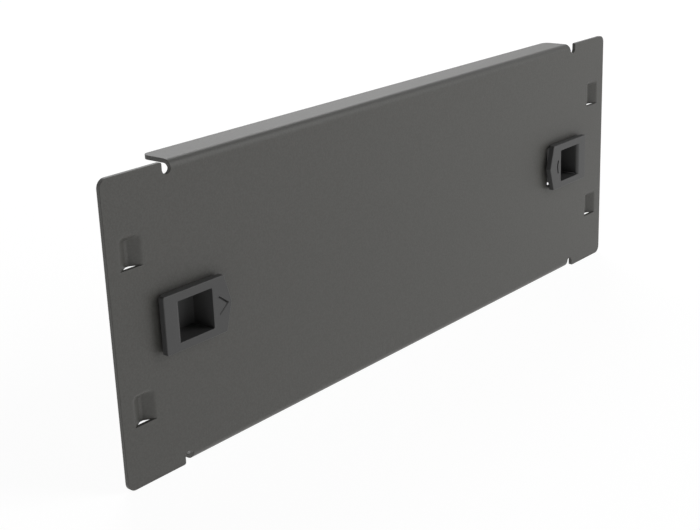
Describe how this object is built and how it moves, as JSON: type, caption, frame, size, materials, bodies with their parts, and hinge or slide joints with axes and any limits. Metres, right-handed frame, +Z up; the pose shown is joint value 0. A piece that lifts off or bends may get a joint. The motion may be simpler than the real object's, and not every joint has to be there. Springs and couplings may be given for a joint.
{
  "type": "rack blanking panel",
  "caption": "Folded sheet metal blanking panel for a 10-inch rack, two units high, with pressed hooks and sliding latches that fit it without tools.",
  "frame": {"origin": "middle of the panel's width and depth, at its bottom edge", "axes": "+X to the right along the panel seen from the front, +Y from the front to the back, +Z up"},
  "size_m": [0.254, 0.0144, 0.0881],
  "materials": {
    "powder_coat": "fine textured matt powder coat, dark grey",
    "latch_plastic": "matt moulded plastic, dark grey"
  },
  "bodies": {
    "panel": {"panel_sheet": "powder_coat"},
    "left_slider": {"left_latch": "latch_plastic"},
    "right_slider": {"right_latch": "latch_plastic"}
  },
  "joints": [
    {"name": "left_latch_slide", "type": "slide", "parent": "panel", "child": "left_slider", "axis": [1, 0, 0], "range_m": [0, 0.0055]},
    {"name": "right_latch_slide", "type": "slide", "parent": "panel", "child": "right_slider", "axis": [-1, 0, 0], "range_m": [-0.002, 0.0035]}
  ]
}
